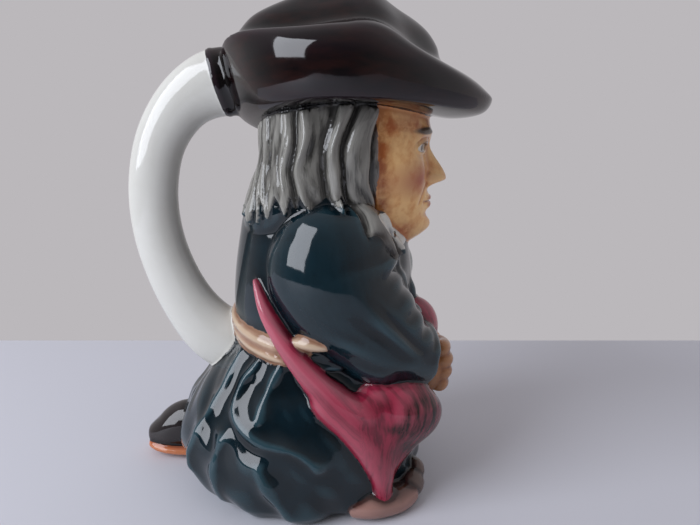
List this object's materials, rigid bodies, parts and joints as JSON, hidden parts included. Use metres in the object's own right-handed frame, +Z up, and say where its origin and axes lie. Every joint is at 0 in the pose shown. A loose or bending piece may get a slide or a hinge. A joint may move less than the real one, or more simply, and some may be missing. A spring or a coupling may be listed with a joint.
{
  "type": "toby jug",
  "caption": "Hollow glazed earthenware toby jug: a kneeling man with clasped hands, long hair, a bag over the hip, a peaked hat open at the crown as the mouth, and a loop handle behind.",
  "frame": {"origin": "under the middle of the whole jug, from shoe to hat peak and side to side, on the surface that it stands on", "axes": "+Z up; the figure and the hat's peak face +X, the handle is at -X, and the figure's right side, with the bag's tail, is -Y"},
  "size_m": [0.1136, 0.075, 0.1494],
  "materials": {
    "glazed_earthenware": "clear lead-type glaze over hand-painted colours, high gloss"
  },
  "bodies": {
    "root": {"toby_jug": "glazed_earthenware"}
  },
  "joints": []
}
